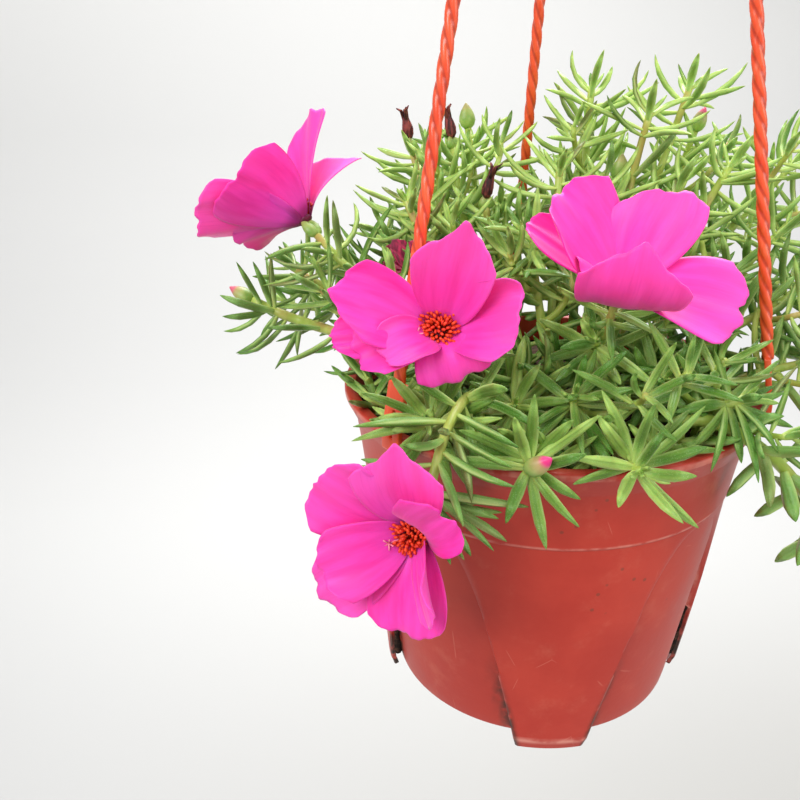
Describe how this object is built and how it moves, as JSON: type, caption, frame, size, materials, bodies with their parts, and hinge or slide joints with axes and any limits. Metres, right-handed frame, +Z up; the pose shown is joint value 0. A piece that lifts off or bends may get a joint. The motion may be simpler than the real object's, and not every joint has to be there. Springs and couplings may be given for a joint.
{
  "type": "hanging pot of portulaca",
  "caption": "Flowering portulaca with fleshy narrow leaves, growing in soil in a tapered hanging pot with moulded legs, held by a clip-on three-strand hanger with a hook.",
  "frame": {"origin": "the point under the top of the hook's bend, where the hook bears on what it hangs from", "axes": "+Z up along the line that the pot hangs on, -Y towards the pot's front leg, +X to the right as the front leg is faced"},
  "size_m": [0.2183, 0.211, 0.5356],
  "materials": {
    "terracotta_plastic": "moulded plastic, worn and dusty",
    "potting_soil": "dark crumbs",
    "orange_plastic": "glossy twisted plastic",
    "leaves": "fleshy green leaves and stems",
    "magenta_petals": "thin silky petals",
    "stamens": "orange-red threads and anthers",
    "wilted_petals": "crumpled and dark",
    "dried_bud": "dry and dark purple"
  },
  "bodies": {
    "root": {"clip_back": "orange_plastic", "clip_left": "orange_plastic", "clip_right": "orange_plastic", "dried_bud_dry_left": "dried_bud", "dried_bud_dry_middle": "dried_bud", "dried_bud_dry_right": "dried_bud", "hanger_hook": "orange_plastic", "petals_back_left": "magenta_petals", "petals_front": "magenta_petals", "petals_low_left": "magenta_petals", "petals_right": "magenta_petals", "pot": "terracotta_plastic", "soil": "potting_soil", "stamens_back_left": "stamens", "stamens_front": "stamens", "stamens_low_left": "stamens", "stamens_right": "stamens", "stem_back_1": "leaves", "stem_back_2": "leaves", "stem_back_3": "leaves", "stem_back_4": "leaves", "stem_back_5": "leaves", "stem_back_6": "leaves", "stem_back_high": "leaves", "stem_back_mid": "leaves", "stem_back_right": "leaves", "stem_bloom_back_left": "leaves", "stem_bloom_front": "leaves", "stem_bloom_low_left": "leaves", "stem_bloom_right": "leaves", "stem_centre_low": "leaves", "stem_centre_right": "leaves", "stem_dry_left": "leaves", "stem_dry_middle": "leaves", "stem_dry_right": "leaves", "stem_front_low": "leaves", "stem_front_mid": "leaves", "stem_front_right": "leaves", "stem_left_high": "leaves", "stem_left_mid": "leaves", "stem_left_rim": "leaves", "stem_left_trailing": "leaves", "stem_mid_right": "leaves", "stem_middle": "leaves", "stem_middle_bud": "leaves", "stem_right_back": "leaves", "stem_right_front": "leaves", "stem_right_high": "leaves", "stem_right_low": "leaves", "stem_right_mid": "leaves", "stem_right_rising": "leaves", "stem_right_trailing": "leaves", "stem_rim_rosette": "leaves", "stem_rim_whorl": "leaves", "stem_star": "leaves", "stem_wilted": "leaves", "strand_back": "orange_plastic", "strand_left": "orange_plastic", "strand_right": "orange_plastic", "wilted_bloom": "wilted_petals"}
  },
  "joints": []
}
